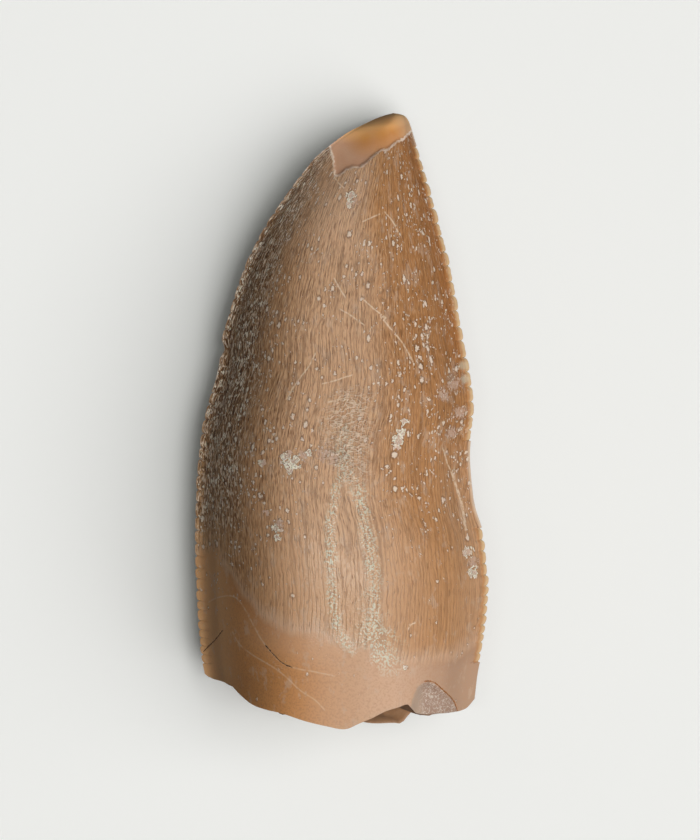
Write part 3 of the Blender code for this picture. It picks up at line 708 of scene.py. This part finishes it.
# Crusts of lime: a thin pinkish film, with a firm pale rim and a few pale curls over it. Elsewhere a thinner
# film lies alone, ragged and with no rim. Both have a faint dark edge.
crust_edge = add(tree, "Math", {0: grit, 1: 2.6, 2: fact["crust"]}, operation="MULTIPLY_ADD")
film = add(tree, "MapRange", {"Value": crust_edge, "From Min": 1.4, "From Max": 1.5, "To Max": 0.8})
film_shade = add(tree, "MapRange", {"Value": crust_edge, "From Min": 1.2, "From Max": 1.4, "To Max": 0.4})
crust_rim = add(tree, "Math", {0: crust_edge, 1: 1.65}, operation="SUBTRACT")
crust_rim = add(tree, "Math", {0: crust_rim}, operation="ABSOLUTE")
crust_rim = add(tree, "MapRange", {"Value": crust_rim, "From Min": 0.2, "From Max": 0.1})
crust_curl = add(tree, "Math", {0: fine_grit, 1: 0.5}, operation="SUBTRACT")
crust_curl = add(tree, "Math", {0: crust_curl}, operation="ABSOLUTE")
crust_curl = add(tree, "MapRange", {"Value": crust_curl, "From Min": 0.06, "From Max": 0.02})
crust_curl = add(tree, "Math", {0: crust_curl, 1: film}, operation="MULTIPLY")
crust = add(tree, "Math", {0: crust_rim, 1: crust_curl}, operation="MAXIMUM")
crust_left = add(tree, "MapRange", {"Value": mottle, "From Min": 0.4, "From Max": 0.5})
crust = add(tree, "Math", {0: crust, 1: crust_left}, operation="MULTIPLY")
film_edge = add(tree, "Math", {0: grit, 1: 2.0, 2: fact["film"]}, operation="MULTIPLY_ADD")
film_edge = add(tree, "Math", {0: fine_grit, 1: 1.6, 2: film_edge}, operation="MULTIPLY_ADD")
thin_film = add(tree, "MapRange", {"Value": film_edge, "From Min": 2.0, "From Max": 2.4, "To Max": 0.5})
film = add(tree, "Math", {0: film, 1: thin_film}, operation="MAXIMUM")
thin_shade = add(tree, "MapRange", {"Value": film_edge, "From Min": 1.8, "From Max": 2.0, "To Max": 0.3})
film_shade = add(tree, "Math", {0: film_shade, 1: thin_shade}, operation="MAXIMUM")

# The glaze left on the crest, in pebbles of 0.08 mm whose tops are painted pale as glints, and in the hollow
# above it wrinkles 0.1 mm wide, raised, with painted glints on their tops and painted shade between them
glint_pebbles = add(tree, "MapRange", {"Value": fine_grit, "From Min": 0.5, "From Max": 0.6})
glaze_edge = add(tree, "Math", {0: mottle, 1: 2.2, 2: fact["glaze"]}, operation="MULTIPLY_ADD")
glaze = add(tree, "MapRange", {"Value": glaze_edge, "From Min": 1.2, "From Max": 2.0})
painted_glints = add(tree, "Math", {0: glint_pebbles, 1: glaze}, operation="MULTIPLY")
wrinkle_place = add(tree, "Mapping", {"Vector": place, "Rotation": (0, 0, 0.5), "Scale": (5.0, 10.0, 5.0)})
wrinkles = add(tree, "TexNoise", {"Vector": wrinkle_place, "Scale": 1.0, "Detail": 0.0, "Distortion": 0.6})
wrinkles = add(tree, "Math", {0: wrinkles, 1: 0.5}, operation="SUBTRACT")
wrinkles = add(tree, "Math", {0: wrinkles}, operation="ABSOLUTE")
# The wrinkles' tops are raised, and painted pale as glints
wrinkle_tops_and_glints = add(tree, "MapRange", {"Value": wrinkles, "From Min": 0.11, "From Max": 0.04})
wrinkled = add(tree, "Math", {0: mottle, 1: 1.0, 2: fact["wrinkled"]}, operation="MULTIPLY_ADD")
wrinkled = add(tree, "MapRange", {"Value": wrinkled, "From Min": 0.4, "From Max": 1.1})
wrinkle_tops_and_glints = add(tree, "Math", {0: wrinkle_tops_and_glints, 1: wrinkled}, operation="MULTIPLY")

# Where the colours of the root and the enamel change: towards the back, towards the tip and at the keels
to_east = add(tree, "MapRange", {"Value": east, "From Min": -1.5, "From Max": 2.0})
far_east = add(tree, "MapRange", {"Value": east, "From Min": 2.0, "From Max": 4.4, "To Max": 0.95})
root_spots = add(tree, "MapRange", {"Value": fine_grit, "From Min": 0.55, "From Max": 0.3, "To Max": 0.5})
warm_from = add(
    tree, "MapRange", {"Value": north, "From Min": -5.0, "From Max": 3.0, "To Min": 0.16, "To Max": 0.6}
)
# Darker along the front keel's edge
front_edge_darker = add(
    tree, "MapRange", {"Value": fact["front_edge"], "From Min": 0.5, "From Max": 0.1, "To Max": 0.35}
)
upper = add(
    tree, "MapRange", {"Value": north, "From Min": 0.5, "From Max": 3.0, "To Min": 0.15, "To Max": 1.2}
)
orange = add(tree, "MapRange", {"Value": fact["back_edge"], "From Min": 1.4, "From Max": 0.3})

# An orange band under the enamel's edge, strongest in front, and a pale frosted one on it
under_edge = add(tree, "MapRange", {"Value": uneven_edge, "From Min": -0.9, "From Max": 0.35})
above_under = add(tree, "MapRange", {"Value": uneven_edge, "From Min": 0.6, "From Max": 0.35})
in_west = add(
    tree, "MapRange", {"Value": east, "From Min": 0.5, "From Max": -2.0, "To Min": 0.05, "To Max": 0.5}
)
pale_low = add(tree, "MapRange", {"Value": uneven_edge, "From Min": 0.3, "From Max": 0.6})
pale_high = add(tree, "MapRange", {"Value": uneven_edge, "From Min": 1.1, "From Max": 0.6})

# The back half rubbed pale low down, and its keel's edge where the denticles are gone
back_low = add(tree, "MapRange", {"Value": north, "From Min": 0.0, "From Max": -4.0, "To Max": 0.3})
back_rub = add(tree, "MapRange", {"Value": fact["back_edge"], "From Min": 2.8, "From Max": 0.8})
back_rim = add(
    tree, "MapRange", {"Value": fact["back_edge"], "From Min": 0.16, "From Max": 0.05, "To Max": 0.6}
)

# The clay in the lines lies thicker towards the tip
clay = add(
    tree, "MapRange", {"Value": north, "From Min": -7.0, "From Max": 0.0, "To Min": 0.42, "To Max": 0.58}
)

# The denticles of the back keel: clear orange where they join the blade, cream at the edge, dark in the slits
bead_root = add(tree, "MapRange", {"Value": fact["bead"], "From Max": 0.1, "To Max": 0.7})
bead_top = add(tree, "MapRange", {"Value": fact["bead"], "From Min": 0.12, "From Max": 0.26, "To Max": 0.8})
mint = add(tree, "MapRange", {"Value": fact["mint"], "From Min": 0.1, "From Max": 0.6, "To Max": 0.35})
slit = add(tree, "MapRange", {"Value": fact["slit"], "From Min": 0.4, "From Max": 0.8, "To Max": 0.85})

# The flake: pinkish dentine with a painted glow, orange and at the end cream, a front edge painted bright
# against the shadow it lies in, and a thin pale rim
painted_glow = add(tree, "MapRange", {"Value": fact["painted_glow"], "From Max": 0.9})
flake_end = add(tree, "MapRange", {"Value": north, "From Min": 10.3, "From Max": 11.0})
# The front edge of the flake's end lies in its own shadow and is painted lighter against it
flake_front_painted_light = add(
    tree, "MapRange", {"Value": fact["front_edge"], "From Min": 1.7, "From Max": 0.6, "To Max": 0.9}
)
flake_front_painted_light = add(tree, "Math", {0: flake_front_painted_light, 1: flake_end}, operation="MULTIPLY")
cream = add(tree, "MapRange", {"Value": fact["cream"], "From Max": 0.8, "To Max": 0.4})
rim_far = add(tree, "Math", {0: flake_edge, 1: 0.08}, operation="SUBTRACT")
rim_far = add(tree, "Math", {0: rim_far}, operation="ABSOLUTE")
flake_rim = add(tree, "MapRange", {"Value": rim_far, "From Min": 0.06, "From Max": 0.025, "To Max": 0.9})
rim_worn = add(tree, "MapRange", {"Value": mottle, "From Min": 0.35, "From Max": 0.55})

# The chip: grey-brown dentine, smooth on its front wall, with curls of white behind that
curls = add(tree, "Math", {0: grit, 1: 0.5}, operation="SUBTRACT")
curls = add(tree, "Math", {0: curls}, operation="ABSOLUTE")
curls = add(tree, "MapRange", {"Value": curls, "From Min": 0.04, "From Max": 0.01, "To Max": 0.6})
curls_from = add(tree, "MapRange", {"Value": east, "From Min": 2.8, "From Max": 3.1})
curls = add(tree, "Math", {0: curls, 1: curls_from}, operation="MULTIPLY")

# The clay in the cracks is less dark round the chip
in_east = add(tree, "Math", {0: east, 1: 2.0}, operation="GREATER_THAN")
crack_dark = add(tree, "Math", {0: in_east, 1: -0.7, 2: crack_dark}, operation="MULTIPLY_ADD", use_clamp=True)

# Parts whose colour varies, each as its first colour and then (how much, next colour): the enamel; the grains
# of lime, painted lighter on the front flank against its shade; the flake, with a painted glow, orange and
# cream at its end, and a front edge painted lighter against its own shadow; the chip; the clay in the cracks,
# redder round the chip; and the broken dentine
tints = []
for tint, changes in (
    ("#C69264", ((cloud, "#B17E4E"),)),
    # On the shaded front flank the grains are painted lighter, against the shade
    ("#E4C4AC", ((mottle, "#EADBCA"), (fact["front_flank"], "#FFF0DC"))),
    # The flake's glow and its lighter front edge are painted light
    ("#BC8A6C", ((mottle, "#CEA486"), (painted_glow, "#C88644"), (flake_front_painted_light, "#FFC482"), (cream, "#E4C298"))),
    ("#B69C88", ((curls_from, "#A58775"), (curls, "#E2D6C8"))),
    ("#8A6240", ((in_east, "#A8641E"), (crack_dark, "#3A2414"))),
    ("#7A5538", ((mottle, "#B58A66"),)),
):
    tint = linear(tint)
    for share, other in changes:
        tint = add(tree, "Mix", {"Factor": share, "A": tint, "B": linear(other)}, data_type="RGBA")
    tints.append(tint)
brown, grain_colour, flake_colour, chip_colour, crack_colour, dentine = tints

# The coats of colour over the root's tan, each as (where it lies, what weakens it there, its colour)
coats = (
    (to_east, (), "#C39A7C"), (far_east, (), "#957058"), (root_spots, (), "#A36E48"),
    (above_edge, (), brown), (fact["back_half"], (above_edge, warm_from), "#9A6433"),
    # The front flank darkened, partly its own darker brown and partly painted shade, and darker still along
    # the front keel's edge
    (fact["front_flank"], (0.55,), "#6E4B30"), (front_edge_darker, (fact["front_flank"],), "#5A3C28"),
    (orange, (mottle, upper, above_edge), "#975820"), (under_edge, (above_under, in_west), "#A86C38"),
    # The second of these paints the front's low edge lighter against its shade
    (pale_low, (pale_high, 0.42), "#D0AF98"), (fact["front_low_painted_light"], (0.65,), "#DFAE80"),
    # The crest painted pale, partly as wear and partly as a painted sheen, comes second here
    (back_low, (back_rub,), "#DDB89A"), (fact["worn"], (0.36,), "#ECC8AC"), (frost, (), "#CBAE97"),
    (weave_dark, (), "#6A4426"), (weave_pale, (), "#E2B992"), (stroke_gaps, (), "#3E2818"),
    # The last of these is painted shade in a ring round the larger grains
    (strokes, (), "#FFE8D0"), (lines, (clay,), "#4E2F18"), (shade_rings, (0.45,), "#5A3A22"),
    (grains, (0.9,), grain_colour), (pits, (), "#4A2F1E"), (scratch, (), "#E6CBAF"),
    # Painted glints on the glaze's pebbles, painted shade over the wrinkled hollow and painted glints on the
    # wrinkles' tops
    (painted_glints, (0.6,), "#D6E0CC"), (wrinkled, (0.25,), "#9A7050"), (wrinkle_tops_and_glints, (0.55,), "#F0D8C0"),
    (film_shade, (), "#6A4A34"), (film, (), "#DCBAA6"), (crust, (), "#EEE4D0"),
    (back_rim, (above_edge,), "#E6CDB6"), (bead_root, (), "#BC8450"), (bead_top, (), "#DBB88E"),
    (mint, (), "#D8D8C2"), (slit, (), "#5B3A24"), (in_flake, (), flake_colour),
    (flake_rim, (rim_worn,), "#F0DAC6"), (in_chip, (), chip_colour), (crack, (), crack_colour),
    (fact["broken"], (), dentine),
)
colour = linear("#C68A54")
for cover, shares, coat in coats:
    for share in shares:
        cover = add(tree, "Math", {0: cover, 1: share}, operation="MULTIPLY")
    if isinstance(coat, str):
        coat = linear(coat)
    colour = add(tree, "Mix", {"Factor": cover, "A": colour, "B": coat}, data_type="RGBA")

# Relief, in millimetres, each as (what is raised, by how much), and the gloss of the glaze
pebble_height = add(tree, "MapRange", {"Value": glaze, "To Min": 0.004, "To Max": 0.02})
height = 0.0
for raised, by in (
    (lines, -0.006), (grains, 0.012), (crack, -0.03), (crust, 0.02), (wrinkle_tops_and_glints, 0.012),
    (fine_grit, pebble_height),
):
    height = add(tree, "Math", {0: raised, 1: by, 2: height}, operation="MULTIPLY_ADD")
relief = add(tree, "Bump", {"Height": height, "Distance": MM})
glazed = add(tree, "Math", {0: glaze, 1: wrinkled}, operation="MAXIMUM")
gloss = add(tree, "MapRange", {"Value": glazed, "To Min": 0.3, "To Max": 0.8})
surface_shader = add(
    tree, "BsdfPrincipled",
    {"Base Color": colour, "Roughness": 0.5, "IOR": 1.45, "Normal": relief, "Coat Weight": gloss,
     "Coat Roughness": 0.16, "Coat IOR": 1.6, "Coat Normal": relief, "Subsurface Weight": 0.1,
     "Subsurface Radius": (1.0, 0.5, 0.25), "Subsurface Scale": 0.6 * MM},
)
add(tree, "OutputMaterial", {"Surface": surface_shader})
tooth_mesh.materials.append(fossil)

# The table: a sheet of smooth white card, larger than any view sees. The tooth lies on it and shades it, but
# the card isn't mirrored in the tooth and throws no light back at it.
FLOOR_SIZE = 3000.0
floor_bm = bmesh.new()
bmesh.ops.create_grid(floor_bm, x_segments=1, y_segments=1, size=FLOOR_SIZE * MM / 2)
floor_mesh = bpy.data.meshes.new("white_card")
floor_bm.to_mesh(floor_mesh)
floor_bm.free()
floor = bpy.data.objects.new("white_card", floor_mesh)
bpy.context.scene.collection.objects.link(floor)
card = bpy.data.materials.new("white_card")
card.use_nodes = True
card.node_tree.nodes.clear()
card_shader = add(
    card.node_tree, "BsdfPrincipled",
    {"Base Color": linear("#FBFAF8"), "Roughness": 0.9, "Specular IOR Level": 0.1},
)
add(card.node_tree, "OutputMaterial", {"Surface": card_shader})
floor_mesh.materials.append(card)
floor.visible_diffuse = False
floor.visible_glossy = False

# Light: a broad soft box above and to the right, only part of which is mirrored, two narrow ones beside the
# lens that draw the streaks of gloss along the crest, and a dim room. Each is (name, place and size in
# metres, watts, colour, whether it is mirrored).
LIGHTS = (
    ("soft_box", (0.85, -0.3, 1.15), (1.7, 1.7), 22.5, "#FFFFFF", False),
    ("soft_box_sheen", (0.85, -0.3, 1.15), (1.7, 1.7), 9.0, "#FFFFFF", True),
    ("left_strip", (-0.06, 0.0, 1.1), (0.02, 0.6), 1.2, "#F8FFF8", True),
    ("right_strip", (0.235, 0.0, 1.1), (0.02, 0.6), 1.2, "#F8FFF8", True),
)
for name, where, (width, length), power, tint, mirrored in LIGHTS:
    lamp = bpy.data.lights.new(name, "AREA")
    lamp.shape = "RECTANGLE"
    lamp.size, lamp.size_y = width, length
    lamp.energy = power
    lamp.color = linear(tint)[:3]
    holder = bpy.data.objects.new(name, lamp)
    holder.location = where
    holder.rotation_euler = Vector(where).to_track_quat("Z", "Y").to_euler()
    holder.visible_glossy = mirrored
    bpy.context.scene.collection.objects.link(holder)
room = bpy.data.worlds.new("room")
room.use_nodes = True
room.node_tree.nodes["Background"].inputs["Color"].default_value = linear("#FFFFFF")
room.node_tree.nodes["Background"].inputs["Strength"].default_value = 0.06
bpy.context.scene.world = room
bpy.context.scene.view_settings.view_transform = "Standard"

# The camera looks straight down from 177 mm, a little right of the middle, through a long lens, so the sides
# of the tooth hardly show.
CAMERA_PLACE = (0.32, -0.04, 177.0)
lens = bpy.data.cameras.new("camera")
lens.lens = 200.0
lens.sensor_width = 36.0
lens.clip_start = 0.01
camera = bpy.data.objects.new("camera", lens)
camera.location = Vector(CAMERA_PLACE) * MM
bpy.context.scene.collection.objects.link(camera)
bpy.context.scene.camera = camera
